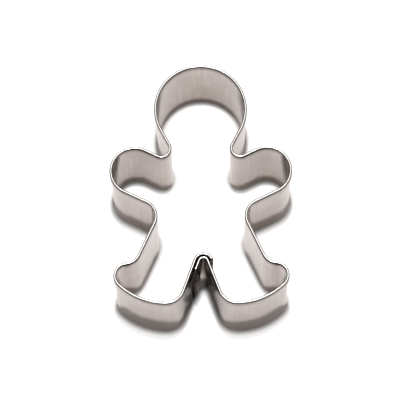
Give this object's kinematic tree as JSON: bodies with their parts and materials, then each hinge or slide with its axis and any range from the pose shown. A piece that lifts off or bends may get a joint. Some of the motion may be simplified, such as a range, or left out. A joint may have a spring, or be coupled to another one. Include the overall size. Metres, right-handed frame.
{
  "type": "cookie cutter",
  "caption": "Gingerbread-figure cookie cutter: a hemmed metal strip bent to the figure's outline, its ends lapped and spot-welded between the legs.",
  "frame": {"origin": "middle of the figure's length and width, on the plane of the cutting edge", "axes": "+Y from the feet to the head, +Z from the cutting edge up to the hemmed rim, +X to the right with the head away from the viewer and the rim up"},
  "size_m": [0.037, 0.0504, 0.0234],
  "materials": {
    "tinned_sheet": "satin tinned sheet, faintly streaked across the strip, brighter along the rolled rim",
    "weld_metal": "dull fused steel"
  },
  "bodies": {
    "root": {"band": "tinned_sheet", "upper_spot_weld": "weld_metal", "lower_spot_weld": "weld_metal"}
  },
  "joints": []
}
